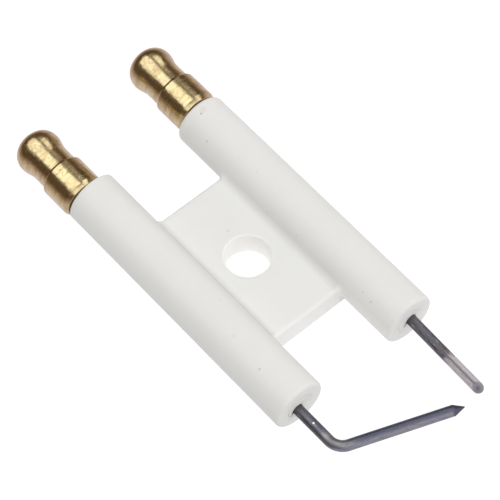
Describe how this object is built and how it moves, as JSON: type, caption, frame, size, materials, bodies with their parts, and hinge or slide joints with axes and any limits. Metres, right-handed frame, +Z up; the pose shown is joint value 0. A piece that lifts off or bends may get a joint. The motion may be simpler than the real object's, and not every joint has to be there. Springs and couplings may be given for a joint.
{
  "type": "ignition electrode",
  "caption": "Burner ignition electrode: two white ceramic tubes joined by a drilled web, metal rods forming a spark gap, and brass snap terminals.",
  "frame": {"origin": "centre of the screw hole, on the web's underside, which is flush with the undersides of the two tubes", "axes": "+Y along the tubes towards the spark gap, +X towards the bent rod's tube, +Z up out of the web's top face"},
  "size_m": [0.0264, 0.0676, 0.0075],
  "materials": {
    "ceramic_white": "matte",
    "rod_alloy": "satin",
    "terminal_brass": "gloss",
    "cement": "matte"
  },
  "bodies": {
    "root": {"ceramic_body": "ceramic_white", "electrode_rod_bent": "rod_alloy", "electrode_rod_straight": "rod_alloy", "terminal_bent": "terminal_brass", "terminal_straight": "terminal_brass", "cement_front_bent": "cement", "cement_front_straight": "cement", "cement_rear_bent": "cement", "cement_rear_straight": "cement"}
  },
  "joints": []
}
